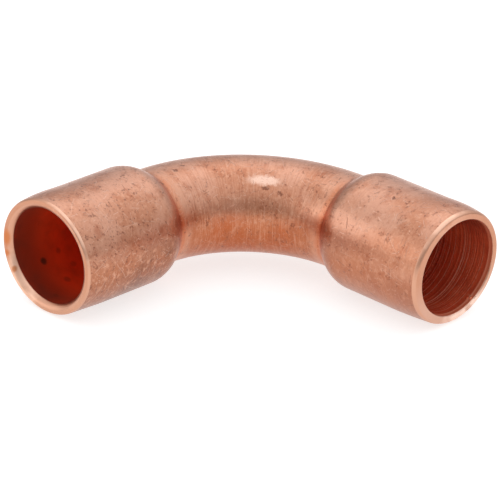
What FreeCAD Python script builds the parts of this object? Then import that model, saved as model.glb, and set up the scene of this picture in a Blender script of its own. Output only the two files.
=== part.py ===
import FreeCAD, Part
import math
import os
import Sketcher

# Wrought copper long-radius 90 degree elbow with two solder sockets, in mm, +Z up.
# It is one length of tube bent to a quarter circle, with both ends expanded to slip over
# a tube of the size it was bent from. Its three formed zones are the nodes bend, left_cup
# and right_cup, which meet on flat faces in the short straight necks.
# Origin: centre of the left socket's stop, where the end of a fitted tube seats.
# The left mouth faces -Y, the right mouth faces +X, and both axes lie in the plane z = 0.

doc = FreeCAD.newDocument("pipe_elbow")

# ---------------------------------------------------------------- dimensions
sizes = doc.addObject("Spreadsheet::Sheet", "sizes")

DRIVING = [
    ("tube_od", "9.53", "outside diameter of the tube that is bent, and of the tube it takes"),
    ("wall", "1.10", "wall of the drawn tube, kept through the bend and the swages"),
    ("fit_gap", "0.035", "radial clearance between a socket and the tube in it"),
    ("bend_radius", "13.65", "radius of the bend's centre line"),
    ("neck_length", "0.20", "straight tube left between the bend and a swage"),
    ("shoulder_radius", "3.20", "outside radius where a swage rounds over into its cup"),
    ("valley_radius", "0.80", "outside radius where the neck flares into a swage"),
    ("socket_depth", "10.95", "mouth face to stop, the parallel part of a cup"),
    ("bevel", "0.30", "inside bevel of a mouth"),
    ("edge_break", "0.35", "outside edge break of a mouth"),
]

DERIVED = [
    ("tube_r", "=tube_od / 2", "outside radius of the bend"),
    ("tube_bore_r", "=tube_r - wall", "inside radius of the bend"),
    ("socket_r", "=tube_r + fit_gap", "inside radius of a cup"),
    ("cup_r", "=socket_r + wall", "outside radius of a cup"),
    ("blend_sum", "=shoulder_radius + valley_radius", "the two tangent arcs of a swage"),
    ("swage_angle", "=acos(1 - (cup_r - tube_r) / blend_sum)", "turn of each swage arc"),
    ("swage_length", "=blend_sum * sin(swage_angle)", "stop to neck"),
    ("stop_to_corner", "=swage_length + neck_length + bend_radius", "stop to crossing of axes"),
]

for row, (name, value, meaning) in enumerate(DRIVING + DERIVED, start=1):
    sizes.set("A%d" % row, name)
    sizes.set("B%d" % row, value)
    sizes.set("C%d" % row, meaning)
    sizes.setAlias("B%d" % row, name)
doc.recompute()


def size(name):
    """A spreadsheet value as a plain number, used where geometry is first placed."""
    value = sizes.get(name)
    return float(getattr(value, "Value", value))


def add_sketch(body, name, role):
    """A sketch on one of the body's own origin planes."""
    sketch = body.newObject("Sketcher::SketchObject", name)
    planes = [feature for feature in body.Origin.OriginFeatures if feature.Role == role]
    sketch.AttachmentSupport = [(planes[0], "")]
    sketch.MapMode = "FlatFace"
    return sketch


def tie(sketch, kind, *where):
    """A geometric constraint."""
    sketch.addConstraint(Sketcher.Constraint(kind, *where))


def drive(sketch, name, kind, *where):
    """A dimension named after, and driven by, one value of the spreadsheet."""
    constraint = Sketcher.Constraint(kind, *where, size(name))
    index = sketch.addConstraint(constraint)
    label = name if kind == "Radius" else "%s_%s" % (name, kind[-1].lower())
    sketch.renameConstraint(index, label)
    sketch.setExpression("Constraints." + label, "sizes." + name)


def line(x0, y0, x1, y1):
    return Part.LineSegment(FreeCAD.Vector(x0, y0, 0), FreeCAD.Vector(x1, y1, 0))


def arc(x, y, radius, start, end):
    circle = Part.Circle(FreeCAD.Vector(x, y, 0), FreeCAD.Vector(0, 0, 1), radius)
    return Part.ArcOfCircle(circle, start, end)


START = 1
END = 2
CENTRE = 3
ORIGIN = (-1, 1)
X_AXIS = -1
Y_AXIS = -2


# ---------------------------------------------------------------- cups
def add_cup(name):
    """A cup and its swage, turned about local Y: stop at y = 0, mouth towards -Y.

    The profile is drawn as radius along X against depth along Y. The two swage arcs on the
    inside share centres with the two on the outside, so the wall keeps its thickness.
    """
    body = doc.addObject("PartDesign::Body", name)
    body.Label = name
    profile = add_sketch(body, name + "_profile", "XY_Plane")

    cup_r = size("cup_r")
    socket_r = size("socket_r")
    tube_r = size("tube_r")
    tube_bore_r = size("tube_bore_r")
    mouth = -size("socket_depth")
    neck = size("swage_length")
    bevel = size("bevel")
    edge = size("edge_break")
    shoulder_r = size("shoulder_radius")
    valley_r = size("valley_radius")
    wall = size("wall")
    turn = math.radians(size("swage_angle"))
    shoulder_x = cup_r - shoulder_r
    valley_x = tube_r + valley_r

    outline = [
        line(socket_r + bevel, mouth, cup_r - edge, mouth),
        line(cup_r - edge, mouth, cup_r, mouth + edge),
        line(cup_r, mouth + edge, cup_r, 0),
        arc(shoulder_x, 0, shoulder_r, 0, turn),
        arc(valley_x, neck, valley_r, math.pi, math.pi + turn),
        line(tube_r, neck, tube_bore_r, neck),
        arc(valley_x, neck, valley_r + wall, math.pi, math.pi + turn),
        arc(shoulder_x, 0, shoulder_r - wall, 0, turn),
        line(socket_r, 0, socket_r, mouth + bevel),
        line(socket_r, mouth + bevel, socket_r + bevel, mouth),
    ]
    face, break_line, skin, shoulder, valley, seam, throat, stop, socket, bevel_line = (
        profile.addGeometry(outline, False)
    )

    tie(profile, "Coincident", face, END, break_line, START)
    tie(profile, "Coincident", break_line, END, skin, START)
    tie(profile, "Tangent", skin, END, shoulder, START)
    tie(profile, "Tangent", shoulder, END, valley, END)
    tie(profile, "Coincident", valley, START, seam, START)
    tie(profile, "Coincident", seam, END, throat, START)
    tie(profile, "Tangent", throat, END, stop, END)
    tie(profile, "Tangent", stop, START, socket, START)
    tie(profile, "Coincident", socket, END, bevel_line, START)
    tie(profile, "Coincident", bevel_line, END, face, START)
    tie(profile, "Horizontal", face)
    tie(profile, "Horizontal", seam)
    tie(profile, "Vertical", skin)
    tie(profile, "Vertical", socket)
    tie(profile, "PointOnObject", shoulder, CENTRE, X_AXIS)
    tie(profile, "Coincident", shoulder, CENTRE, stop, CENTRE)
    tie(profile, "Coincident", valley, CENTRE, throat, CENTRE)
    tie(profile, "Horizontal", valley, CENTRE, valley, START)

    drive(profile, "shoulder_radius", "Radius", shoulder)
    drive(profile, "valley_radius", "Radius", valley)
    drive(profile, "cup_r", "DistanceX", *ORIGIN, skin, END)
    drive(profile, "tube_r", "DistanceX", *ORIGIN, seam, START)
    drive(profile, "tube_bore_r", "DistanceX", *ORIGIN, seam, END)
    drive(profile, "socket_depth", "DistanceY", face, START, *ORIGIN)
    drive(profile, "bevel", "DistanceX", socket, END, bevel_line, END)
    drive(profile, "bevel", "DistanceY", bevel_line, END, socket, END)
    drive(profile, "edge_break", "DistanceX", face, END, break_line, END)
    drive(profile, "edge_break", "DistanceY", face, END, break_line, END)

    turned = body.newObject("PartDesign::Revolution", name + "_turned")
    turned.Profile = profile
    turned.ReferenceAxis = (profile, ["V_Axis"])
    turned.Angle = 360.0
    profile.Visibility = False
    body.Tip = turned
    return body


left_cup = add_cup("left_cup")
right_cup = add_cup("right_cup")
right_cup.Placement.Rotation = FreeCAD.Rotation(FreeCAD.Vector(0, 0, 1), 90)
right_cup.setExpression("Placement.Base.x", "sizes.stop_to_corner")
right_cup.setExpression("Placement.Base.y", "sizes.stop_to_corner")

# ---------------------------------------------------------------- bend
# A ring swept along neck, quarter circle, neck. Local origin: centre of the left seam face.
bend = doc.addObject("PartDesign::Body", "bend")
bend.Label = "bend"
bend.setExpression("Placement.Base.y", "sizes.swage_length")

radius = size("bend_radius")
straight = size("neck_length")

spine = add_sketch(bend, "bend_spine", "XY_Plane")
first_neck, quarter, last_neck = spine.addGeometry(
    [
        line(0, 0, 0, straight),
        arc(radius, straight, radius, math.pi / 2, math.pi),
        line(radius, straight + radius, radius + straight, straight + radius),
    ],
    False,
)
tie(spine, "Coincident", first_neck, START, *ORIGIN)
tie(spine, "PointOnObject", first_neck, END, Y_AXIS)
tie(spine, "Tangent", first_neck, END, quarter, END)
tie(spine, "Tangent", quarter, START, last_neck, START)
tie(spine, "Horizontal", last_neck)
tie(spine, "Equal", first_neck, last_neck)
drive(spine, "bend_radius", "Radius", quarter)
drive(spine, "neck_length", "DistanceY", first_neck, START, first_neck, END)

ring = add_sketch(bend, "bend_ring", "XZ_Plane")
outside, inside = ring.addGeometry(
    [
        Part.Circle(FreeCAD.Vector(0, 0, 0), FreeCAD.Vector(0, 0, 1), size("tube_r")),
        Part.Circle(FreeCAD.Vector(0, 0, 0), FreeCAD.Vector(0, 0, 1), size("tube_bore_r")),
    ],
    False,
)
tie(ring, "Coincident", outside, CENTRE, *ORIGIN)
tie(ring, "Coincident", inside, CENTRE, *ORIGIN)
drive(ring, "tube_r", "Radius", outside)
drive(ring, "tube_bore_r", "Radius", inside)

swept = bend.newObject("PartDesign::AdditivePipe", "bend_swept")
swept.Profile = ring
swept.Spine = spine
spine.Visibility = False
ring.Visibility = False
bend.Tip = swept

# ---------------------------------------------------------------- check and write
doc.recompute()

for item in doc.Objects:
    if "Invalid" in item.State or "Error" in item.State:
        raise RuntimeError("%s did not compute: %s" % (item.Name, item.State))

nodes = [bend, left_cup, right_cup]
for node in nodes:
    if node.Shape.isNull() or not node.Shape.isValid() or len(node.Shape.Solids) != 1:
        raise RuntimeError("%s is not one valid solid" % node.Label)

os.makedirs("parts", exist_ok=True)
for node in nodes:
    node.Shape.exportStep("parts/%s.step" % node.Label)
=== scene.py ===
import math
import random

import bpy
import numpy as np
from mathutils import Matrix, Vector


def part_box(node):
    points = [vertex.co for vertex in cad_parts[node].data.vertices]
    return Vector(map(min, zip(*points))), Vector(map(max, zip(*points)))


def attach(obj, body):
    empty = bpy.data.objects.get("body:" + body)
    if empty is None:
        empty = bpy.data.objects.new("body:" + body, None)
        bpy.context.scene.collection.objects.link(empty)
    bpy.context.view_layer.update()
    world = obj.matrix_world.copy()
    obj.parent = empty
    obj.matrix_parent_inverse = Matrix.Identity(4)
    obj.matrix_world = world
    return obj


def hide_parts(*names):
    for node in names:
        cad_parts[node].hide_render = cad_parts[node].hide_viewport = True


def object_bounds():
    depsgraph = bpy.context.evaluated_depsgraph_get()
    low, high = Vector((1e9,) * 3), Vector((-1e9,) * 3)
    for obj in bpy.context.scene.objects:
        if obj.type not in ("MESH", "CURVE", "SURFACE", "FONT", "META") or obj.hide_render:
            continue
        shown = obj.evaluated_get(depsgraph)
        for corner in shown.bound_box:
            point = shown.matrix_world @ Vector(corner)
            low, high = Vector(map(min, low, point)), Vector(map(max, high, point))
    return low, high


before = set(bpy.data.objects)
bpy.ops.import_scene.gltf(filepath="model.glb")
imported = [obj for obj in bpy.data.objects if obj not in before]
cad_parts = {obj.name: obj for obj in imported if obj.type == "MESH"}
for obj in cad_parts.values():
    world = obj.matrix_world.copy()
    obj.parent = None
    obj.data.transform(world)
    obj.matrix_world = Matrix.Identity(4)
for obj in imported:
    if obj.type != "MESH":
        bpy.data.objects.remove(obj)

cad_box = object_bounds()

# ---------------------------------------------------------------- bend
# The middle of the elbow: hard-drawn copper tube, bent cold to a quarter circle round a
# former with a mandrel inside, so that it stays round and keeps its wall.
MM = 0.001
AROUND = 320
TUBE_R = 4.765 * MM
TUBE_BORE_R = 3.665 * MM
BEND_R = 13.65 * MM
BEND_STEPS = 96

bend_low, bend_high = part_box("bend")
NECK = bend_high[0] - BEND_R
HALF_NECK = NECK / 2
BEND_START = bend_low[1] + NECK
AXIS_Y = BEND_START + BEND_R
QUARTER = BEND_R * math.pi / 2
BEND_CENTRE = (BEND_R, BEND_START, 0)
LEFT_SEAM = Vector((0, BEND_START - HALF_NECK, 0))
RIGHT_SEAM = Vector((BEND_R + HALF_NECK, AXIS_Y, 0))
TO_LEFT = Vector((0, -1, 0))
TO_RIGHT = Vector((1, 0, 0))
OUTWARDS = Vector((0, 1, 0))


def start_ring(radius, centre, axis):
    """A circle of AROUND points about a tube's axis, left selected in edit mode."""
    turn = axis.to_track_quat("Z", "Y").to_euler()
    bpy.ops.object.select_all(action="DESELECT")
    bpy.ops.mesh.primitive_circle_add(
        vertices=AROUND,
        radius=radius,
        fill_type="NOTHING",
        calc_uvs=False,
        location=centre,
        rotation=turn,
    )
    piece = bpy.context.object
    bpy.ops.object.transform_apply(location=True, rotation=True, scale=True)
    bpy.ops.object.mode_set(mode="EDIT")
    bpy.ops.mesh.select_all(action="SELECT")
    return piece


def pull_ring(step, grow, centre, axis, aside=0.0):
    """Extrude the selected ring by a step along the axis and a step aside, up to the new
    centre, then open or close it there.
    """
    move = axis * step + OUTWARDS * aside
    bpy.ops.mesh.extrude_region_move(TRANSFORM_OT_translate={"value": move})
    spread = [1.0 if part else grow for part in axis]
    bpy.ops.transform.resize(value=spread, center_override=centre)


def close_shell(piece, name):
    """Weld the last ring to the first, face it outwards and shade its corners crisp."""
    bpy.ops.mesh.select_all(action="SELECT")
    bpy.ops.mesh.remove_doubles(threshold=1e-7)
    bpy.ops.mesh.normals_make_consistent(inside=False)
    bpy.ops.object.mode_set(mode="OBJECT")
    bpy.ops.object.shade_smooth_by_angle(angle=math.radians(28))
    piece.name = name
    piece.data.name = name


def unbend(piece):
    """Give each point its place in the straight tube, in mm: outwards of the bend, along
    the tube and up. The same place unrolled, girth against length, is the UV map.
    """
    mesh = piece.data
    points = np.empty(len(mesh.vertices) * 3)
    mesh.vertices.foreach_get("co", points)
    x, y, z = points.reshape(-1, 3).T
    turn = np.arctan2(y - BEND_START, BEND_R - x)
    reach = np.hypot(y - BEND_START, BEND_R - x)
    on_left = y <= BEND_START
    on_right = x >= BEND_R
    outward = np.where(on_left, -x, np.where(on_right, y - AXIS_Y, reach - BEND_R))
    along = np.where(
        on_left, y - BEND_START, np.where(on_right, QUARTER + x - BEND_R, BEND_R * turn)
    )
    straight = np.stack([outward, along, z], axis=1) / MM
    drawn = mesh.attributes.new("drawn_mm", "FLOAT_VECTOR", "POINT")
    drawn.data.foreach_set("vector", straight.ravel())

    corner_points = np.empty(len(mesh.loops), dtype=np.int32)
    mesh.loops.foreach_get("vertex_index", corner_points)
    angle = np.arctan2(outward, z)[corner_points].reshape(-1, 4)
    last = angle.max(axis=1, keepdims=True)
    angle = np.where(angle < last - math.pi, angle + 2 * math.pi, angle)
    girth = angle.ravel() * TUBE_R / MM
    length = straight[corner_points, 1]
    unrolled = mesh.uv_layers.new(name="unrolled_mm")
    unrolled.data.foreach_set("uv", np.stack([girth, length], axis=1).ravel())


bend_tube = start_ring(TUBE_R, LEFT_SEAM, TO_LEFT)
pull_ring(-HALF_NECK, 1.0, LEFT_SEAM, TO_LEFT)
bpy.ops.mesh.spin(steps=BEND_STEPS, angle=math.pi / 2, center=BEND_CENTRE, axis=(0, 0, 1))
pull_ring(HALF_NECK, 1.0, RIGHT_SEAM, TO_RIGHT)
pull_ring(0, TUBE_BORE_R / TUBE_R, RIGHT_SEAM, TO_RIGHT)
pull_ring(-HALF_NECK, 1.0, RIGHT_SEAM, TO_RIGHT)
bpy.ops.mesh.spin(steps=BEND_STEPS, angle=-math.pi / 2, center=BEND_CENTRE, axis=(0, 0, 1))
pull_ring(HALF_NECK, 1.0, LEFT_SEAM, TO_LEFT)
pull_ring(0, TUBE_R / TUBE_BORE_R, LEFT_SEAM, TO_LEFT)
close_shell(bend_tube, "bend_tube")
unbend(bend_tube)


def tone(hex_code):
    """An sRGB hex colour as linear RGBA."""
    parts = [int(hex_code[i : i + 2], 16) / 255 for i in (1, 3, 5)]
    linear = [p / 12.92 if p <= 0.04045 else ((p + 0.055) / 1.055) ** 2.4 for p in parts]
    return (*linear, 1.0)


def add_node(tree, kind, inputs=None, **settings):
    """Add a shader node, set it up, link or set its inputs by name or number, and return
    its outputs.
    """
    node = tree.nodes.new("ShaderNode" + kind)
    for setting, value in settings.items():
        setattr(node, setting, value)
    for socket, value in (inputs or {}).items():
        if isinstance(value, bpy.types.NodeSocket):
            tree.links.new(value, node.inputs[socket])
        else:
            node.inputs[socket].default_value = value
    return node.outputs


# A MapRange with soft ends spreads the part of a pattern between its inputs 1 and 2, over 0
# to 1 or over inputs 3 and 4. A Mix lays the colour 7 over the colour 6 by its input 0.
SOFT_ENDS = {"interpolation_type": "SMOOTHSTEP"}
TWO_COLOURS = {"data_type": "RGBA"}


def scratches(tree, unrolled, cell, length, width, share, shift):
    """Short straight scratches at every angle, in a share of the cells of a scattered grid.
    All sizes are in mm.
    """
    moved = add_node(tree, "VectorMath", {0: unrolled, 1: (shift, 2 * shift, 0)})
    wobble = add_node(tree, "TexNoise", {"Vector": moved[0], "Scale": 0.7 / cell})
    bent = add_node(
        tree,
        "VectorMath",
        {0: wobble["Color"], 1: (0.25 * cell,) * 3, 2: moved[0]},
        operation="MULTIPLY_ADD",
    )
    scaled = add_node(
        tree, "VectorMath", {0: bent[0], "Scale": 1 / cell}, operation="SCALE"
    )[0]
    cells = add_node(tree, "TexVoronoi", {"Vector": scaled, "Scale": 1.0}, voronoi_dimensions="2D")
    local = add_node(
        tree, "VectorMath", {0: scaled, 1: cells["Position"]}, operation="SUBTRACT"
    )[0]
    luck = add_node(tree, "SeparateColor", {0: cells["Color"]})
    angle = add_node(tree, "Math", {0: luck[0], 1: math.pi}, operation="MULTIPLY")[0]
    turned = add_node(tree, "VectorRotate", {0: local, "Angle": angle}, rotation_type="Z_AXIS")
    place = add_node(tree, "SeparateXYZ", {0: turned[0]})
    reach = add_node(
        tree,
        "Math",
        {0: luck[1], 1: length / cell * 0.4, 2: length / cell * 0.15},
        operation="MULTIPLY_ADD",
    )[0]
    along = add_node(tree, "Math", {0: place[0]}, operation="ABSOLUTE")[0]
    inside = add_node(tree, "Math", {0: reach, 1: along}, operation="SUBTRACT")[0]
    long_mask = add_node(
        tree, "MapRange", {0: inside, 1: 0.0, 2: length / cell * 0.12}, **SOFT_ENDS
    )[0]
    aside = add_node(tree, "Math", {0: place[1]}, operation="ABSOLUTE")[0]
    wide_mask = add_node(tree, "MapRange", {0: aside, 1: width / cell, 2: 0.0}, **SOFT_ENDS)[0]
    shape = add_node(tree, "Math", {0: long_mask, 1: wide_mask}, operation="MULTIPLY")[0]
    chosen = add_node(tree, "Math", {0: luck[2], 1: share}, operation="LESS_THAN")[0]
    return add_node(tree, "Math", {0: shape, 1: chosen}, operation="MULTIPLY")[0]


def mark(tree, place, centre, reach):
    """An oval mark about one place in the straight tube, fading out to its edge, in mm."""
    away = add_node(tree, "VectorMath", {0: place, 1: centre}, operation="SUBTRACT")[0]
    share = add_node(tree, "VectorMath", {0: away, 1: reach}, operation="DIVIDE")[0]
    length = add_node(tree, "VectorMath", {0: share}, operation="LENGTH")["Value"]
    return add_node(tree, "MapRange", {0: length, 1: 1.0, 2: 0.35}, **SOFT_ENDS)[0]


def most(tree, patterns):
    """The strongest of several patterns at each point."""
    strongest = patterns[0]
    for pattern in patterns[1:]:
        strongest = add_node(tree, "Math", {0: strongest, 1: pattern}, operation="MAXIMUM")[0]
    return strongest


# Drawn copper, annealed, pickled and tumbled in bulk: a soft satin skin of pinkish copper,
# clouded with browner oxide, with faint lines along the draw, pits, and scuffs every way.
skin = bpy.data.materials.new("tumbled_drawn_copper")
skin.use_nodes = True
tree = skin.node_tree
tree.nodes.clear()
drawn = add_node(tree, "Attribute", attribute_name="drawn_mm")["Vector"]
unrolled = add_node(tree, "UVMap", uv_map="unrolled_mm")["UV"]
place = add_node(tree, "SeparateXYZ", {0: drawn})

cloud = add_node(tree, "TexNoise", {"Vector": drawn, "Scale": 1 / 5.0, "Detail": 4.0})[0]
blotch = add_node(tree, "TexNoise", {"Vector": drawn, "Scale": 1 / 1.3, "Detail": 5.0})[0]
mottle = add_node(tree, "TexNoise", {"Vector": drawn, "Scale": 1 / 0.55, "Detail": 4.0})[0]
grain = add_node(
    tree, "TexNoise", {"Vector": drawn, "Scale": 1 / 0.24, "Detail": 4.0, "Roughness": 0.65}
)[0]
stretched = add_node(tree, "Mapping", {"Vector": drawn, "Scale": (1 / 0.14, 1 / 4.0, 1 / 0.14)})
draw_lines = add_node(
    tree, "TexNoise", {"Vector": stretched[0], "Scale": 1.0, "Detail": 3.0}
)[0]
around = add_node(tree, "Mapping", {"Vector": drawn, "Scale": (1 / 2.6, 1 / 0.16, 1 / 2.6)})
bending_rings = add_node(
    tree, "TexNoise", {"Vector": around[0], "Scale": 1.0, "Detail": 2.0}
)[0]
wide_scuffs = scratches(
    tree, unrolled, cell=2.6, length=2.4, width=0.07, share=0.55, shift=3.1
)
short_scuffs = scratches(
    tree, unrolled, cell=1.1, length=1.0, width=0.045, share=0.5, shift=11.7
)
fine_scuffs = scratches(
    tree, unrolled, cell=0.55, length=0.6, width=0.03, share=0.6, shift=23.9
)
dark_scuffs = scratches(
    tree, unrolled, cell=1.9, length=1.1, width=0.06, share=0.4, shift=37.3
)

# Pits crowd together in some places, and most of all on the left cup.
pit_cells = add_node(
    tree, "TexVoronoi", {"Vector": unrolled, "Scale": 1 / 0.62}, voronoi_dimensions="2D"
)
pit_luck = add_node(tree, "SeparateColor", {0: pit_cells["Color"]})
pit_size = add_node(tree, "Math", {0: pit_luck[0], 1: 0.17}, operation="MULTIPLY")[0]
pit_inside = add_node(
    tree, "Math", {0: pit_size, 1: pit_cells["Distance"]}, operation="SUBTRACT"
)[0]
pits = add_node(tree, "MapRange", {0: pit_inside, 1: 0.0, 2: 0.05}, **SOFT_ENDS)[0]
on_left_cup = add_node(tree, "MapRange", {0: place[1], 1: 1.0, 2: -4.0}, **SOFT_ENDS)[0]
crowd = add_node(tree, "Math", {0: on_left_cup, 1: 0.1, 2: blotch}, operation="MULTIPLY_ADD")[0]
pitted = add_node(tree, "MapRange", {0: crowd, 1: 0.48, 2: 0.64, 4: 0.75}, **SOFT_ENDS)[0]
pits = add_node(tree, "Math", {0: pits, 1: pitted}, operation="MULTIPLY")[0]
fleck = add_node(
    tree, "TexNoise", {"Vector": drawn, "Scale": 1 / 0.38, "Detail": 3.0, "Roughness": 0.6}
)[0]
specks = add_node(tree, "MapRange", {0: fleck, 1: 0.44, 2: 0.3}, **SOFT_ENDS)[0]
speckled = add_node(tree, "MapRange", {0: crowd, 1: 0.36, 2: 0.66}, **SOFT_ENDS)[0]
specks = add_node(tree, "Math", {0: specks, 1: speckled}, operation="MULTIPLY")[0]

# Where the tube narrows, each crease is painted a warm orange line of painted shade, reddened
# as the copper reflects itself there, strongest inside the bend; the bend beside it is rubbed pale.
BEND_MIDDLE = QUARTER / 2 / MM
from_middle = add_node(tree, "Math", {0: place[1], 1: BEND_MIDDLE}, operation="SUBTRACT")[0]
from_middle = add_node(tree, "Math", {0: from_middle}, operation="ABSOLUTE")[0]
past_bend = add_node(
    tree, "Math", {0: from_middle, 1: BEND_MIDDLE + 0.25}, operation="SUBTRACT"
)[0]
past_bend = add_node(
    tree, "Math", {0: mottle, 1: 0.5, 2: past_bend}, operation="MULTIPLY_ADD"
)[0]
crease_in = add_node(tree, "MapRange", {0: past_bend, 1: -0.7, 2: 0.5}, **SOFT_ENDS)[0]
crease_out = add_node(tree, "MapRange", {0: past_bend, 1: 2.0, 2: 0.6}, **SOFT_ENDS)[0]
crease_shade = add_node(tree, "Math", {0: crease_in, 1: crease_out}, operation="MULTIPLY")[0]
crease_shade_strength = add_node(
    tree, "MapRange", {0: place[0], 1: 1.0, 2: -4.5, 3: 0.1, 4: 0.55}, **SOFT_ENDS
)[0]
crease_shade = add_node(tree, "Math", {0: crease_shade, 1: crease_shade_strength}, operation="MULTIPLY")[0]
rubbed_in = add_node(tree, "MapRange", {0: past_bend, 1: -1.9, 2: -0.8}, **SOFT_ENDS)[0]
rubbed_out = add_node(tree, "MapRange", {0: past_bend, 1: 0.2, 2: -0.3}, **SOFT_ENDS)[0]
rubbed_band = add_node(tree, "Math", {0: rubbed_in, 1: rubbed_out}, operation="MULTIPLY")[0]

# Single marks from handling, each at its place along and around the tube.
wander = add_node(tree, "TexNoise", {"Vector": drawn, "Scale": 1 / 0.35})["Color"]
wander = add_node(
    tree, "VectorMath", {0: wander, 1: (0.5, 0.5, 0.5)}, operation="SUBTRACT"
)[0]
ragged = add_node(
    tree, "VectorMath", {0: wander, 1: (0.7, 0.7, 0.7), 2: drawn}, operation="MULTIPLY_ADD"
)[0]
rubbed_flat = mark(tree, ragged, (-2.85, 12.3, 3.80), (0.75, 2.8, 0.75))
bright_nicks = most(
    tree,
    [
        mark(tree, ragged, (-4.75, 18.47, 0.43), (0.22, 0.14, 0.22)),
        mark(tree, ragged, (-4.04, 34.72, 4.30), (0.16, 0.12, 0.22)),
        mark(tree, ragged, (-3.60, 33.30, 4.65), (0.30, 0.16, 0.12)),
    ],
)
dark_nicks = most(
    tree,
    [
        mark(tree, ragged, (-3.50, 12.6, 3.23), (0.30, 0.80, 0.30)),
        mark(tree, ragged, (-3.74, 14.6, 2.95), (0.26, 0.60, 0.26)),
        mark(tree, ragged, (-0.88, 2.33, 4.68), (0.22, 0.42, 0.22)),
        mark(tree, ragged, (-0.32, 3.52, 4.75), (0.20, 0.40, 0.20)),
        mark(tree, ragged, (-1.80, 28.48, 5.62), (0.30, 0.30, 0.30)),
    ],
)

# The upper side is painted pale as painted light; below, and most inside the bend, it is
# painted darker and redder as painted shade and the copper's reflection of itself.
height = add_node(tree, "Math", {0: place[2], 1: 1.0}, operation="SUBTRACT")[0]
height = add_node(tree, "Math", {0: cloud, 1: 2.0, 2: height}, operation="MULTIPLY_ADD")[0]
on_bend = add_node(tree, "MapRange", {0: past_bend, 1: 0.9, 2: -0.9}, **SOFT_ENDS)[0]
inner_side = add_node(tree, "MapRange", {0: place[0], 1: 2.5, 2: -3.5}, **SOFT_ENDS)[0]
inside_bend = add_node(tree, "Math", {0: on_bend, 1: inner_side}, operation="MULTIPLY")[0]
height = add_node(tree, "Math", {0: inside_bend, 1: -0.7, 2: height}, operation="MULTIPLY_ADD")[0]
painted_shade_below = add_node(tree, "MapRange", {0: height, 1: 2.5, 2: -1.5}, **SOFT_ENDS)[0]
off_left_cup = add_node(tree, "Math", {0: 1.0, 1: on_left_cup}, operation="SUBTRACT")[0]
smoother = add_node(tree, "Math", {0: painted_shade_below, 1: off_left_cup}, operation="MULTIPLY")[0]
wear = add_node(tree, "Math", {0: smoother, 1: -0.45, 2: 0.85}, operation="MULTIPLY_ADD")[0]
# Shaded copies of the skin for the lower side: darker on the left cup, redder inside the bend.
shaded_cup_skin = add_node(
    tree, "Mix", {0: on_left_cup, 6: tone("#AC6C4F"), 7: tone("#8C543A")}, **TWO_COLOURS
)[2]
shaded_red_skin = add_node(
    tree, "Mix", {0: inside_bend, 6: shaded_cup_skin, 7: tone("#B46037")}, **TWO_COLOURS
)[2]
# Painted light on the upper side, painted shade on the lower side.
colour = add_node(tree, "Mix", {0: painted_shade_below, 6: tone("#D69D82"), 7: shaded_red_skin}, **TWO_COLOURS)[2]
clouded = add_node(tree, "MapRange", {0: cloud, 1: 0.38, 2: 0.62, 4: 0.6}, **SOFT_ENDS)[0]
colour = add_node(tree, "Mix", {0: clouded, 6: colour, 7: tone("#BC7652")}, **TWO_COLOURS)[2]
blotched = add_node(tree, "MapRange", {0: blotch, 1: 0.48, 2: 0.72, 4: 0.55}, **SOFT_ENDS)[0]
colour = add_node(tree, "Mix", {0: blotched, 6: colour, 7: tone("#AA6242")}, **TWO_COLOURS)[2]
light_wear = add_node(tree, "Math", {0: wear, 1: 0.6}, operation="MULTIPLY")[0]
ring_amount = add_node(tree, "Math", {0: on_bend, 1: 0.16, 2: 0.1}, operation="MULTIPLY_ADD")[0]
for pattern, starts, full, amount, shade in (
    (mottle, 0.5, 0.74, light_wear, "#E2AA8C"),
    (grain, 0.5, 0.8, light_wear, "#E8B396"),
    (grain, 0.46, 0.22, light_wear, "#965334"),
    (bending_rings, 0.5, 0.72, ring_amount, "#A25A39"),
    (bending_rings, 0.48, 0.28, ring_amount, "#E6B094"),
):
    spots = add_node(tree, "MapRange", {0: pattern, 1: starts, 2: full}, **SOFT_ENDS)[0]
    spots = add_node(tree, "Math", {0: spots, 1: amount}, operation="MULTIPLY")[0]
    colour = add_node(tree, "Mix", {0: spots, 6: colour, 7: tone(shade)}, **TWO_COLOURS)[2]
rubbed = add_node(tree, "Math", {0: rubbed_band, 1: 0.45}, operation="MULTIPLY")[0]
colour = add_node(tree, "Mix", {0: rubbed, 6: colour, 7: tone("#DDA385")}, **TWO_COLOURS)[2]
# Painted shade in the creases, warm orange for the copper reflecting itself.
colour = add_node(tree, "Mix", {0: crease_shade, 6: colour, 7: tone("#DE8052")}, **TWO_COLOURS)[2]
wide_faint = add_node(tree, "Math", {0: wide_scuffs, 1: 0.6}, operation="MULTIPLY")[0]
bright = most(tree, [wide_faint, short_scuffs, fine_scuffs])
bright = add_node(tree, "Math", {0: bright, 1: wear}, operation="MULTIPLY")[0]
dark_faint = add_node(tree, "Math", {0: dark_scuffs, 1: 0.7}, operation="MULTIPLY")[0]
dark = most(tree, [pits, dark_faint, specks])
for pattern, amount, shade in (
    (bright, 0.45, "#F0CDB9"),
    (rubbed_flat, 0.9, "#F6CDB7"),
    (dark, 0.6, "#6B3B2B"),
    (dark_nicks, 0.7, "#6E3A28"),
    (bright_nicks, 0.8, "#F7D0B8"),
):
    faded = add_node(tree, "Math", {0: pattern, 1: amount}, operation="MULTIPLY")[0]
    colour = add_node(tree, "Mix", {0: faded, 6: colour, 7: tone(shade)}, **TWO_COLOURS)[2]

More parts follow.
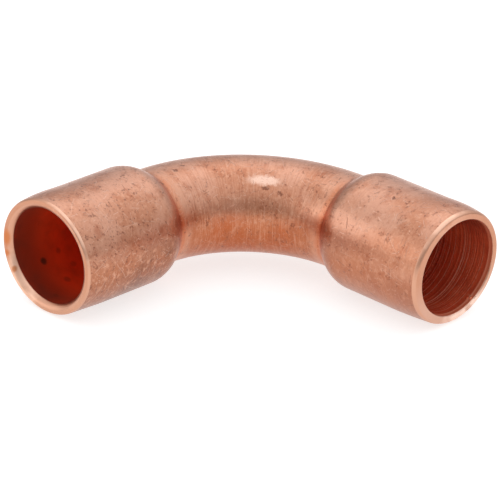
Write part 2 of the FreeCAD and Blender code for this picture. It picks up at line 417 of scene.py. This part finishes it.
relief = add_node(tree, "Math", {0: grain, 1: 0.007}, operation="MULTIPLY")[0]
for pattern, rise in (
    (mottle, 0.015),
    (draw_lines, 0.005),
    (bending_rings, 0.003),
    (blotch, 0.035),
    (bright, -0.012),
    (dark, -0.02),
    (dark_nicks, -0.04),
    (bright_nicks, -0.05),
):
    relief = add_node(
        tree, "Math", {0: pattern, 1: rise, 2: relief}, operation="MULTIPLY_ADD"
    )[0]
bump = add_node(tree, "Bump", {"Strength": 1.0, "Distance": MM, "Height": relief})
gloss = add_node(tree, "Math", {0: grain, 1: 0.14, 2: 0.27}, operation="MULTIPLY_ADD")[0]
gloss = add_node(tree, "Math", {0: rubbed_flat, 1: -0.12, 2: gloss}, operation="MULTIPLY_ADD")[0]
surface = add_node(
    tree,
    "BsdfPrincipled",
    {
        "Base Color": colour,
        "Metallic": 1.0,
        "Roughness": gloss,
        "Normal": bump[0],
        "Coat Weight": 0.25,
        "Coat Roughness": 0.35,
    },
)
add_node(tree, "OutputMaterial", {"Surface": surface[0]})

# The bore of the drawn tube never sees the tumbling stones: it keeps the red cuprous skin of
# annealing, with a few round water stains. It is painted browner near the left mouth and
# bright red deeper in, as painted light reflected from copper to copper.
bore_skin = bpy.data.materials.new("annealed_copper_bore")
bore_skin.use_nodes = True
tree = bore_skin.node_tree
tree.nodes.clear()
drawn = add_node(tree, "Attribute", attribute_name="drawn_mm")["Vector"]
stain = add_node(tree, "TexNoise", {"Vector": drawn, "Scale": 1 / 2.2, "Detail": 4.0})[0]
grain = add_node(tree, "TexNoise", {"Vector": drawn, "Scale": 1 / 0.25, "Detail": 3.0})[0]
stains = mark(tree, drawn, (3.88, -10.4, -2.82), (0.5, 0.5, 0.5))
for centre, reach, strength in (
    ((4.13, -8.25, -2.44), (0.4, 0.4, 0.4), 0.35),
    ((3.01, -7.28, -3.74), (0.4, 0.5, 0.4), 0.35),
    ((1.88, -9.13, -4.42), (0.5, 0.5, 0.5), 0.4),
    ((0.43, -12.08, -4.78), (0.5, 0.4, 0.5), 0.4),
):
    faint = mark(tree, drawn, centre, reach)
    faint = add_node(tree, "Math", {0: faint, 1: strength}, operation="MULTIPLY")[0]
    stains = most(tree, [stains, faint])
length = add_node(tree, "SeparateXYZ", {0: drawn})[1]
# Painted reflected light: the bore is painted redder and brighter away from the left mouth.
deep_painted_glow = add_node(tree, "MapRange", {0: length, 1: -13.0, 2: -8.0}, **SOFT_ENDS)[0]
colour = add_node(tree, "Mix", {0: deep_painted_glow, 6: tone("#7A2E1C"), 7: tone("#EE4A1E")}, **TWO_COLOURS)[2]
stained = add_node(tree, "MapRange", {0: stain, 1: 0.35, 2: 0.7, 4: 0.5}, **SOFT_ENDS)[0]
colour = add_node(tree, "Mix", {0: stained, 6: colour, 7: tone("#A23114")}, **TWO_COLOURS)[2]
stains = add_node(tree, "Math", {0: stains, 1: 0.85}, operation="MULTIPLY")[0]
colour = add_node(tree, "Mix", {0: stains, 6: colour, 7: tone("#3A2216")}, **TWO_COLOURS)[2]
relief = add_node(tree, "Math", {0: grain, 1: 0.008}, operation="MULTIPLY")[0]
bump = add_node(tree, "Bump", {"Strength": 1.0, "Distance": MM, "Height": relief})
surface = add_node(
    tree,
    "BsdfPrincipled",
    {"Base Color": colour, "Metallic": 0.15, "Roughness": 0.42, "Normal": bump[0]},
)
add_node(tree, "OutputMaterial", {"Surface": surface[0]})


def paint_faces(piece, slots):
    """Give the piece its materials: each slot is a material and a test of the face's place
    in the straight tube, as distance from the axis and from the bend's middle, in mm.
    """
    mesh = piece.data
    places = np.empty(len(mesh.vertices) * 3)
    mesh.attributes["drawn_mm"].data.foreach_get("vector", places)
    places = places.reshape(-1, 3)
    corners = np.empty(len(mesh.polygons) * 4, dtype=np.int32)
    mesh.polygons.foreach_get("vertices", corners)
    corners = corners.reshape(-1, 4)
    radius = np.hypot(places[:, 0], places[:, 2])[corners].mean(axis=1)
    far = np.abs(places[:, 1][corners].mean(axis=1) - BEND_MIDDLE)
    index = np.zeros(len(corners), dtype=np.int32)
    for number, (material, belongs) in enumerate(slots):
        mesh.materials.append(material)
        index[belongs(radius, far)] = number
    mesh.polygons.foreach_set("material_index", index)
    mesh.update()


WALL_MIDDLE = (TUBE_R + TUBE_BORE_R) / 2 / MM
paint_faces(
    bend_tube,
    [
        (skin, lambda radius, far: radius >= WALL_MIDDLE),
        (bore_skin, lambda radius, far: radius < WALL_MIDDLE),
    ],
)
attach(bend_tube, "root")
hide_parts("bend")

# ---------------------------------------------------------------- cups
# Each end of the tube is expanded over a punch, which swages it out through a shoulder to
# a socket for the next tube. The mouth is then faced, broken outside and bevelled inside.
CUP_R = 5.9 * MM
SOCKET_R = 4.8 * MM
SHOULDER_R = 3.2 * MM
VALLEY_R = 0.8 * MM
WALL = CUP_R - SOCKET_R
TAPER = 3.2 * MM
SWAGE_TURN = math.acos(1 - (CUP_R - TUBE_R) / (SHOULDER_R + VALLEY_R))
SWAGE_LENGTH = (SHOULDER_R + VALLEY_R) * math.sin(SWAGE_TURN)
left_low, left_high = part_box("left_cup")
MOUTH = HALF_NECK + left_high[1] - left_low[1]
MOUTH_ALONG = BEND_MIDDLE + (HALF_NECK + MOUTH) / MM


def arc_stations(reach, radius, size, first, last, steps):
    """Points on an arc of the profile, as (reach from the seam, distance from the axis)."""
    turns = [first + (last - first) * step / steps for step in range(1, steps + 1)]
    return [(reach + size * math.cos(turn), radius + size * math.sin(turn)) for turn in turns]


def straight_stations(start, end, steps):
    """Points on a straight run of the profile."""
    shares = [step / steps for step in range(1, steps + 1)]
    return [(start[0] + (end[0] - start[0]) * s, start[1] + (end[1] - start[1]) * s) for s in shares]


def swage_out(valley, shoulder):
    """Neck, valley and shoulder of one side of the wall, from the seam outwards."""
    base = HALF_NECK
    tip = HALF_NECK + SWAGE_LENGTH
    neck_r = TUBE_R - (valley - VALLEY_R)
    top_r = CUP_R - (SHOULDER_R - shoulder)
    down = -math.pi / 2
    up = math.pi / 2
    stations = [(base, neck_r)]
    stations += arc_stations(base, neck_r + valley, valley, down, down + SWAGE_TURN, 14)
    stations += arc_stations(tip, top_r - shoulder, shoulder, up + SWAGE_TURN, up, 18)
    return stations


def turn_cup(name, seam, outward, mouth, bore):
    """Draw a cup out ring by ring: swage, skin, mouth, bore and throat. A station is the
    ring's reach from the seam, its radius and how far aside of the axis its centre is.
    """
    outside = swage_out(VALLEY_R, SHOULDER_R)
    inside = swage_out(VALLEY_R + WALL, SHOULDER_R - WALL)
    edge_in, edge_down = mouth["edge"]
    draw_in = mouth["draws_in"]
    bevel_in, bevel_wide = mouth["bevel"]
    edge_r = mouth["bore_r"]
    end_r = CUP_R - draw_in
    taper_start = MOUTH - TAPER
    stations = list(outside)
    stations += straight_stations(outside[-1], (taper_start, CUP_R), 34)
    for step in range(1, 19):
        reach = taper_start + (TAPER - edge_in) * step / 18
        stations.append((reach, CUP_R - draw_in * (step / 18) ** 2))
    for step in range(1, 9):
        turn = step / 8 * math.pi / 2
        stations.append(
            (
                MOUTH - edge_in * (1 - math.sin(turn)),
                end_r - edge_down * (1 - math.cos(turn)),
            )
        )
    bore_stations = bore((MOUTH - bevel_in, edge_r), inside[-1])
    aside = bore_stations[0][2] if len(bore_stations[0]) == 3 else 0.0
    face_start = stations[-1][1]
    face_end = edge_r + bevel_wide
    for share in (0.2, 0.4, 0.6, 0.8, 1.0):
        stations.append((MOUTH, face_start + (face_end - face_start) * share, aside * share))
    for step in range(1, 11):
        share = step / 10
        turn = share * math.pi / 2
        inwards = (share + 1 - math.cos(turn)) / 2
        down = (share + math.sin(turn)) / 2
        stations.append((MOUTH - bevel_in * inwards, face_end - bevel_wide * down, aside))
    stations += bore_stations
    stations += inside[::-1][1:]
    stations.append((0, TUBE_BORE_R))
    stations.append((0, TUBE_R))

    piece = start_ring(TUBE_R, seam, outward)
    last_reach, last_radius, last_aside = 0.0, TUBE_R, 0.0
    for station in stations:
        reach, radius, aside = station if len(station) == 3 else (*station, 0.0)
        centre = seam + outward * reach + OUTWARDS * aside
        pull_ring(reach - last_reach, radius / last_radius, centre, outward, aside - last_aside)
        last_reach, last_radius, last_aside = reach, radius, aside
    close_shell(piece, name)
    unbend(piece)
    return piece


def dent(piece, place, push, reach):
    """Press or pull the metal about one place by a push, easing off over a reach."""
    mesh = piece.data
    points = np.empty(len(mesh.vertices) * 3)
    mesh.vertices.foreach_get("co", points)
    nearest = int(((points.reshape(-1, 3) - np.array(place)) ** 2).sum(axis=1).argmin())
    bpy.context.view_layer.objects.active = piece
    bpy.ops.object.mode_set(mode="EDIT")
    bpy.ops.mesh.select_all(action="DESELECT")
    bpy.ops.object.mode_set(mode="OBJECT")
    mesh.vertices[nearest].select = True
    bpy.ops.object.mode_set(mode="EDIT")
    bpy.ops.transform.translate(
        value=push,
        use_proportional_edit=True,
        proportional_edit_falloff="SMOOTH",
        proportional_size=reach,
        use_proportional_connected=True,
    )
    bpy.ops.object.mode_set(mode="OBJECT")


# The metal this close to a mouth turns with it as one, and the turn eases off over a reach.
TILT_DEPTH = 0.7 * MM
TILT_REACH = 4.0 * MM


def tilt_mouth(piece, centre, hinge, outward, turns):
    """Turn a mouth a little out of square about a hinge off its centre, easing off down the
    cup. Each turn is an axis and an angle.
    """
    mesh = piece.data
    points = np.empty(len(mesh.vertices) * 3)
    mesh.vertices.foreach_get("co", points)
    depth = (np.array(centre) - points.reshape(-1, 3)) @ np.array(outward)
    bpy.context.view_layer.objects.active = piece
    bpy.ops.object.mode_set(mode="EDIT")
    bpy.ops.mesh.select_all(action="DESELECT")
    bpy.ops.object.mode_set(mode="OBJECT")
    mesh.vertices.foreach_set("select", depth < TILT_DEPTH)
    bpy.ops.object.mode_set(mode="EDIT")
    for axis, angle in turns:
        bpy.ops.transform.rotate(
            value=angle,
            orient_axis=axis,
            center_override=centre + hinge,
            use_proportional_edit=True,
            proportional_edit_falloff="SMOOTH",
            proportional_size=TILT_REACH,
        )
    bpy.ops.object.mode_set(mode="OBJECT")


def plain_bore(start, end):
    return straight_stations(start, end, 40)


def turned_bore(start, end):
    """A bore opened with a single-point tool, a little off the cup's centre. The feed
    leaves a fine sharp ridge between one turn and the next, for the first millimetres.
    """
    tool = random.Random(7)
    turned_r = start[1]
    off_centre = 0.16 * MM
    stations = [(start[0] - 0.08 * MM, turned_r, off_centre)]
    reach = stations[0][0]
    while reach > start[0] - 6.6 * MM:
        feed = tool.uniform(0.38, 0.54) * MM
        depth = tool.uniform(0.014, 0.036) * MM
        for step in range(1, 9):
            share = step / 8
            hollow = depth * math.sin(math.pi * share)
            stations.append((reach - feed * share, turned_r + hollow, off_centre))
        reach -= feed
    run_out = stations[-1]
    for step in range(1, 17):
        share = step / 16
        ease = min(1.0, share * 3.0)
        stations.append(
            (
                run_out[0] + (end[0] - run_out[0]) * share,
                turned_r + (end[1] - turned_r) * ease,
                off_centre * (1 - ease),
            )
        )
    return stations


# Freshly faced copper on the mouths: paler and brighter than the skin, with fine rings left
# by the facing tool, a painted highlight streak along one diameter of each face, painted
# browner shade on the two sides of it, a painted highlight on the lower side, and orange
# spots of oxide on the left one.
# Real rings are near 0.05 mm apart; they are drawn at 0.12 mm to show.
rim = bpy.data.materials.new("faced_copper_rim")
rim.use_nodes = True
tree = rim.node_tree
tree.nodes.clear()
drawn = add_node(tree, "Attribute", attribute_name="drawn_mm")["Vector"]
place = add_node(tree, "SeparateXYZ", {0: drawn})
across = add_node(tree, "VectorMath", {0: drawn, 1: (1.0, 0.0, 1.0)}, operation="MULTIPLY")[0]
radius = add_node(tree, "VectorMath", {0: across}, operation="LENGTH")["Value"]
rings = add_node(
    tree, "TexNoise", {"W": radius, "Scale": 1 / 0.12, "Detail": 2.0}, noise_dimensions="1D"
)[0]
haze = add_node(tree, "TexNoise", {"Vector": drawn, "Scale": 1 / 1.6, "Detail": 3.0})[0]
grain = add_node(tree, "TexNoise", {"Vector": drawn, "Scale": 1 / 0.2, "Detail": 3.0})[0]
# Each face stays bright in a narrow painted highlight streak along one diameter and is painted
# browner shade on the two sides of it.
on_left = add_node(tree, "Math", {0: place[1], 1: 0.0}, operation="LESS_THAN")[0]
streak_way = add_node(tree, "Math", {0: on_left, 1: -0.35, 2: -0.3}, operation="MULTIPLY_ADD")[0]
streak_up = add_node(tree, "Math", {0: on_left, 1: -0.2, 2: 0.95}, operation="MULTIPLY_ADD")[0]
towards_streak = add_node(tree, "Math", {0: place[0], 1: streak_way}, operation="MULTIPLY")[0]
towards_streak = add_node(
    tree, "Math", {0: place[2], 1: streak_up, 2: towards_streak}, operation="MULTIPLY_ADD"
)[0]
highlight_streak = add_node(tree, "Math", {0: towards_streak}, operation="ABSOLUTE")[0]
highlight_streak = add_node(tree, "Math", {0: highlight_streak, 1: radius}, operation="DIVIDE")[0]
highlight_streak = add_node(tree, "Math", {0: highlight_streak, 1: 0.25}, operation="SUBTRACT")[0]
highlight_streak = add_node(tree, "Math", {0: haze, 1: 0.5, 2: highlight_streak}, operation="MULTIPLY_ADD")[0]
painted_shade_off_streak = add_node(tree, "MapRange", {0: highlight_streak, 1: 1.02, 2: 0.78}, **SOFT_ENDS)[0]
far = add_node(tree, "Math", {0: place[1], 1: BEND_MIDDLE}, operation="SUBTRACT")[0]
far = add_node(tree, "Math", {0: far}, operation="ABSOLUTE")[0]
depth = add_node(tree, "Math", {0: MOUTH_ALONG, 1: far}, operation="SUBTRACT")[0]
worn_edge = add_node(tree, "MapRange", {0: depth, 1: 0.01, 2: 0.12}, **SOFT_ENDS)[0]
torn = mark(tree, drawn, (2.25, 35.40, -4.90), (0.75, 0.8, 0.55))
oxide = most(
    tree,
    [
        mark(tree, drawn, (5.25, -13.80, 0.35), (0.45, 0.6, 1.3)),
        mark(tree, drawn, (5.25, -13.80, -1.30), (0.40, 0.6, 0.5)),
        mark(tree, drawn, (4.35, -13.80, -2.75), (0.35, 0.6, 0.45)),
    ],
)
hazy = add_node(tree, "MapRange", {0: haze, 1: 0.4, 2: 0.7}, **SOFT_ENDS)[0]
colour = add_node(tree, "Mix", {0: hazy, 6: tone("#D8A186"), 7: tone("#CB9074")}, **TWO_COLOURS)[2]
# Painted highlight on the lower side of each face, palest on the right mouth.
lit_low_tone = add_node(
    tree, "Mix", {0: on_left, 6: tone("#FAD8C6"), 7: tone("#F0C0A4")}, **TWO_COLOURS
)[2]
lit_low_side = add_node(tree, "MapRange", {0: place[2], 1: 0.5, 2: -4.0}, **SOFT_ENDS)[0]
colour = add_node(tree, "Mix", {0: lit_low_side, 6: colour, 7: lit_low_tone}, **TWO_COLOURS)[2]
colour = add_node(tree, "Mix", {0: worn_edge, 6: colour, 7: tone("#F4C4A9")}, **TWO_COLOURS)[2]
pale_grain = add_node(tree, "MapRange", {0: grain, 1: 0.55, 2: 0.8, 4: 0.5}, **SOFT_ENDS)[0]
colour = add_node(tree, "Mix", {0: pale_grain, 6: colour, 7: tone("#F0C8B2")}, **TWO_COLOURS)[2]
# The first of these is painted shade off the highlight streak; the torn lip and oxide are the
# metal's own.
for pattern, amount, shade in (
    (painted_shade_off_streak, 0.7, "#C48A6D"),
    (torn, 0.5, "#B4704C"),
    (oxide, 0.75, "#C87238"),
):
    faded = add_node(tree, "Math", {0: pattern, 1: amount}, operation="MULTIPLY")[0]
    colour = add_node(tree, "Mix", {0: faded, 6: colour, 7: tone(shade)}, **TWO_COLOURS)[2]
relief = add_node(tree, "Math", {0: rings, 1: 0.008}, operation="MULTIPLY")[0]
relief = add_node(tree, "Math", {0: grain, 1: 0.006, 2: relief}, operation="MULTIPLY_ADD")[0]
bump = add_node(tree, "Bump", {"Strength": 1.0, "Distance": MM, "Height": relief})
surface = add_node(
    tree,
    "BsdfPrincipled",
    {"Base Color": colour, "Metallic": 1.0, "Roughness": 0.34, "Normal": bump[0]},
)
add_node(tree, "OutputMaterial", {"Surface": surface[0]})

# The turned bore is browner, with painted shade towards its top. Its ridges catch the light
# as fine bright lines, painted as highlights on the lower side only, with painted shade in
# the furrows and a band of painted light just inside the lip.
turned_skin = bpy.data.materials.new("turned_copper_bore")
turned_skin.use_nodes = True
tree = turned_skin.node_tree
tree.nodes.clear()
drawn = add_node(tree, "Attribute", attribute_name="drawn_mm")["Vector"]
place = add_node(tree, "SeparateXYZ", {0: drawn})
lines = add_node(
    tree, "TexNoise", {"W": place[1], "Scale": 1 / 0.22, "Detail": 2.0}, noise_dimensions="1D"
)[0]
stain = add_node(tree, "TexNoise", {"Vector": drawn, "Scale": 1 / 1.8, "Detail": 4.0})[0]
grain = add_node(tree, "TexNoise", {"Vector": drawn, "Scale": 1 / 0.2, "Detail": 3.0})[0]
lines = add_node(tree, "Math", {0: lines, 1: 0.12}, operation="SUBTRACT")[0]
lines = add_node(tree, "Math", {0: grain, 1: 0.25, 2: lines}, operation="MULTIPLY_ADD")[0]
stained = add_node(tree, "MapRange", {0: stain, 1: 0.35, 2: 0.7}, **SOFT_ENDS)[0]
colour = add_node(
    tree, "Mix", {0: stained, 6: tone("#E0663F"), 7: tone("#C85030")}, **TWO_COLOURS
)[2]
shaded = add_node(tree, "MapRange", {0: place[2], 1: 0.5, 2: 4.0, 4: 0.75}, **SOFT_ENDS)[0]
colour = add_node(tree, "Mix", {0: shaded, 6: colour, 7: tone("#7C3226")}, **TWO_COLOURS)[2]
# Painted highlights: the crests are painted bright on the lower side of the bore only.
lit_low_side = add_node(
    tree, "MapRange", {0: place[2], 1: 2.5, 2: -2.0, 3: 0.1, 4: 1.0}, **SOFT_ENDS
)[0]
crests = add_node(tree, "MapRange", {0: lines, 1: 0.54, 2: 0.68}, **SOFT_ENDS)[0]
crests = add_node(tree, "Math", {0: crests, 1: lit_low_side}, operation="MULTIPLY")[0]
colour = add_node(tree, "Mix", {0: crests, 6: colour, 7: tone("#F4AC8E")}, **TWO_COLOURS)[2]
# Painted shade in the furrows between the ridges.
furrows = add_node(tree, "MapRange", {0: lines, 1: 0.46, 2: 0.3, 4: 0.35}, **SOFT_ENDS)[0]
colour = add_node(tree, "Mix", {0: furrows, 6: colour, 7: tone("#863420")}, **TWO_COLOURS)[2]
far = add_node(tree, "Math", {0: place[1], 1: BEND_MIDDLE}, operation="SUBTRACT")[0]
far = add_node(tree, "Math", {0: far}, operation="ABSOLUTE")[0]
depth = add_node(tree, "Math", {0: MOUTH_ALONG, 1: far}, operation="SUBTRACT")[0]
# Painted light: a lighter band just inside the lip.
near_lip = add_node(tree, "MapRange", {0: depth, 1: 0.75, 2: 0.35, 4: 0.7}, **SOFT_ENDS)[0]
colour = add_node(tree, "Mix", {0: near_lip, 6: colour, 7: tone("#F79A74")}, **TWO_COLOURS)[2]
swarf = mark(tree, drawn, (3.05, 34.80, -4.05), (0.34, 0.45, 0.34))
crumbs = add_node(tree, "MapRange", {0: grain, 1: 0.42, 2: 0.62, 4: 0.9}, **SOFT_ENDS)[0]
swarf = add_node(tree, "Math", {0: swarf, 1: crumbs}, operation="MULTIPLY")[0]
colour = add_node(tree, "Mix", {0: swarf, 6: colour, 7: tone("#F0B08E")}, **TWO_COLOURS)[2]
relief = add_node(tree, "Math", {0: lines, 1: 0.02}, operation="MULTIPLY")[0]
relief = add_node(tree, "Math", {0: grain, 1: 0.008, 2: relief}, operation="MULTIPLY_ADD")[0]
bump = add_node(tree, "Bump", {"Strength": 1.0, "Distance": MM, "Height": relief})
surface = add_node(
    tree,
    "BsdfPrincipled",
    {"Base Color": colour, "Metallic": 0.45, "Roughness": 0.36, "Normal": bump[0]},
)
add_node(tree, "OutputMaterial", {"Surface": surface[0]})

left_mouth = {
    "edge": (0.42 * MM, 0.24 * MM),
    "draws_in": 0.11 * MM,
    "bevel": (0.54 * MM, 0.58 * MM),
    "bore_r": SOCKET_R,
}
right_mouth = {
    "edge": (0.55 * MM, 0.34 * MM),
    "draws_in": 0.15 * MM,
    "bevel": (0.12 * MM, 0.10 * MM),
    "bore_r": 4.87 * MM,
}
left_cup_formed = turn_cup("left_cup_formed", LEFT_SEAM, TO_LEFT, left_mouth, plain_bore)
right_cup_formed = turn_cup(
    "right_cup_formed", RIGHT_SEAM, TO_RIGHT, right_mouth, turned_bore
)

# Neither mouth is cut quite square to its cup.
tilt_mouth(
    right_cup_formed,
    RIGHT_SEAM + TO_RIGHT * MOUTH,
    Vector((0, 2.5 * MM, 2.5 * MM)),
    TO_RIGHT,
    (("Z", 0.03), ("Y", -0.03)),
)
tilt_mouth(
    left_cup_formed,
    LEFT_SEAM + TO_LEFT * MOUTH,
    Vector((-3.0 * MM, 0, 1.5 * MM)),
    TO_LEFT,
    (("Z", -0.03), ("X", -0.03)),
)


def on_right_cup(back, outward, up):
    """A place in the right cup: mm back from its mouth, outward of the bend, and up."""
    mouth_x = RIGHT_SEAM.x + MOUTH
    return (mouth_x - back * MM, AXIS_Y + outward * MM, up * MM)


# A curl of swarf is left standing inside the right mouth, beside a torn stretch of its lip.
# Farther back, the skin of the right cup has two knocks.
for back, outward, up, lift, reach in (
    (0.42, 3.25, -4.10, 0.16, 0.26),
    (0.62, 2.95, -4.30, 0.13, 0.20),
    (0.95, 2.80, -4.40, 0.10, 0.22),
):
    pull = (0.04 * MM, -0.6 * lift * MM, 0.8 * lift * MM)
    dent(right_cup_formed, on_right_cup(back, outward, up), pull, reach * MM)
for outward, up, drop, reach in ((2.75, -4.45, 0.16, 0.50), (1.95, -4.80, 0.10, 0.40)):
    push = (-drop * MM, 0.4 * drop * MM, -0.5 * drop * MM)
    dent(right_cup_formed, on_right_cup(0.0, outward, up), push, reach * MM)
dent(right_cup_formed, on_right_cup(0.70, -4.04, 4.30), (0, 0.03 * MM, -0.03 * MM), 0.25 * MM)
dent(right_cup_formed, on_right_cup(6.95, -1.80, 5.62), (0, 0.01 * MM, -0.05 * MM), 0.40 * MM)

# The places, in mm, that tell a cup's faces apart: along the tube to the end of the throat,
# and out from the axis to the parts of the mouth. The broken edge is bright from a little
# past its start.
THROAT = BEND_MIDDLE + (SWAGE_LENGTH + NECK) / MM
SOCKET_WITHIN = 5.55
FACE_WITHIN = 5.5
EDGE_BEYOND = 5.36
EDGE_SKIPS = 0.1


def is_inside(radius, far):
    """Inner side of the wall through the throat, whose middle follows the swage."""
    share = np.clip((far - BEND_MIDDLE - HALF_NECK / MM) / (SWAGE_LENGTH / MM), 0, 1)
    return radius < WALL_MIDDLE + (CUP_R - TUBE_R) / MM * share


def line_cup(cup, node, lining, mouth):
    """Skin outside, faced rim on the mouth, its own lining in the socket, and the bend's
    bore in the throat behind it.
    """
    bevel_start = MOUTH_ALONG - (mouth["bevel"][0] + 0.02 * MM) / MM
    edge_start = MOUTH_ALONG - mouth["edge"][0] / MM + EDGE_SKIPS
    paint_faces(
        cup,
        [
            (skin, lambda radius, far: radius > 0),
            (bore_skin, lambda radius, far: is_inside(radius, far) & (far <= THROAT)),
            (lining, lambda radius, far: (radius < SOCKET_WITHIN) & (far > THROAT)),
            (rim, lambda radius, far: (far > bevel_start) & (radius < FACE_WITHIN)),
            (rim, lambda radius, far: (far > edge_start) & (radius > EDGE_BEYOND)),
        ],
    )
    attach(cup, "root")
    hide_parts(node)


line_cup(left_cup_formed, "left_cup", bore_skin, left_mouth)
line_cup(right_cup_formed, "right_cup", turned_skin, right_mouth)

# ---------------------------------------------------------------- setting
# The elbow lies flat on a sheet of white acrylic that is lit from below, so it has next to
# no shadow, in a pale room with one wide soft light low on the left.
floor_z = cad_box[0][2]
bpy.ops.object.select_all(action="DESELECT")
bpy.ops.mesh.primitive_plane_add(size=4.0, location=(0.014, 0.008, floor_z))
table_top = bpy.context.object
table_top.name = "table_top"
acrylic = bpy.data.materials.new("lit_white_acrylic")
acrylic.use_nodes = True
sheet = acrylic.node_tree.nodes["Principled BSDF"]
sheet.inputs["Base Color"].default_value = tone("#BEBEBD")
sheet.inputs["Roughness"].default_value = 0.9
sheet.inputs["Emission Color"].default_value = tone("#FFFFFF")
sheet.inputs["Emission Strength"].default_value = 0.70
table_top.data.materials.append(acrylic)

# The room is dim at the horizon, brighter overhead and darker round the camera and to the
# far left, with a lamp high behind the elbow.
room = bpy.data.worlds.new("studio_room")
bpy.context.scene.world = room
room.use_nodes = True
tree = room.node_tree
tree.nodes.clear()
direction = add_node(tree, "TexCoord")["Generated"]
facing = add_node(
    tree, "VectorMath", {0: direction, 1: (0.7, -0.7, 0.0)}, operation="DOT_PRODUCT"
)["Value"]
heading = add_node(tree, "SeparateXYZ", {0: direction})
rightward = heading[0]
upward = heading[2]
strength = add_node(
    tree, "MapRange", {0: upward, 1: -0.1, 2: 0.75, 3: 0.55, 4: 1.1}, **SOFT_ENDS
)[0]
dimming = add_node(tree, "MapRange", {0: facing, 1: 0.5, 2: 1.0, 3: 1.0, 4: 0.6}, **SOFT_ENDS)[0]
strength = add_node(tree, "Math", {0: strength, 1: dimming}, operation="MULTIPLY")[0]
dimming = add_node(
    tree, "MapRange", {0: rightward, 1: -0.55, 2: -0.95, 3: 1.0, 4: 0.7}, **SOFT_ENDS
)[0]
strength = add_node(tree, "Math", {0: strength, 1: dimming}, operation="MULTIPLY")[0]
lamp_height = add_node(tree, "MapRange", {0: upward, 1: 0.66, 2: 0.82}, **SOFT_ENDS)[0]
lamp_side = add_node(tree, "MapRange", {0: facing, 1: -0.1, 2: -0.5}, **SOFT_ENDS)[0]
lamp = add_node(tree, "Math", {0: lamp_height, 1: lamp_side}, operation="MULTIPLY")[0]
strength = add_node(tree, "Math", {0: lamp, 1: 0.5, 2: strength}, operation="MULTIPLY_ADD")[0]
overhead = add_node(tree, "MapRange", {0: upward, 1: 0.8, 2: 1.0}, **SOFT_ENDS)[0]
strength = add_node(
    tree, "Math", {0: overhead, 1: 0.15, 2: strength}, operation="MULTIPLY_ADD"
)[0]
screen = add_node(tree, "Background", {"Color": tone("#F6F7FA"), "Strength": strength})
add_node(tree, "OutputWorld", {"Surface": screen[0]})

light_place = Vector((-0.32, -0.34, 0.15))
lit_place = Vector((0.010, 0.010, 0))
bpy.ops.object.select_all(action="DESELECT")
bpy.ops.object.light_add(type="AREA", location=light_place + lit_place)
softbox = bpy.context.object
softbox.name = "left_softbox"
softbox.data.shape = "RECTANGLE"
softbox.data.size = 0.50
softbox.data.size_y = 0.24
softbox.data.energy = 0.31
softbox.rotation_euler = light_place.to_track_quat("Z", "Y").to_euler()

# ---------------------------------------------------------------- camera
# A long lens on the open side of the bend, looking down into both mouths.
AZIMUTH = math.radians(43.484)
ELEVATION = math.radians(25.009)
ROLL = math.radians(2.192)
DISTANCE = 311.4 * MM
AIM_IN = 0.8 * BEND_R
back = Vector(
    (
        math.sin(AZIMUTH) * math.cos(ELEVATION),
        -math.cos(AZIMUTH) * math.cos(ELEVATION),
        math.sin(ELEVATION),
    )
)
level = Vector((0, 0, 1)).cross(back).normalized()
upright = back.cross(level)
right = math.cos(ROLL) * level + math.sin(ROLL) * upright
up = back.cross(right)
aim = Vector((AIM_IN, AXIS_Y - AIM_IN, 0)) - right * 0.087 * MM - up * 0.435 * MM
lens_data = bpy.data.cameras.new("long_lens")
camera = bpy.data.objects.new("long_lens", lens_data)
bpy.context.collection.objects.link(camera)
lens_data.sensor_width = 36.0
lens_data.lens = 235.6
lens_data.clip_start = 0.01
lens_data.clip_end = 20.0
camera.matrix_world = Matrix.Translation(aim + back * DISTANCE) @ Matrix(
    (right, up, back)
).transposed().to_4x4()
bpy.context.scene.camera = camera
bpy.context.scene.view_settings.view_transform = "Standard"
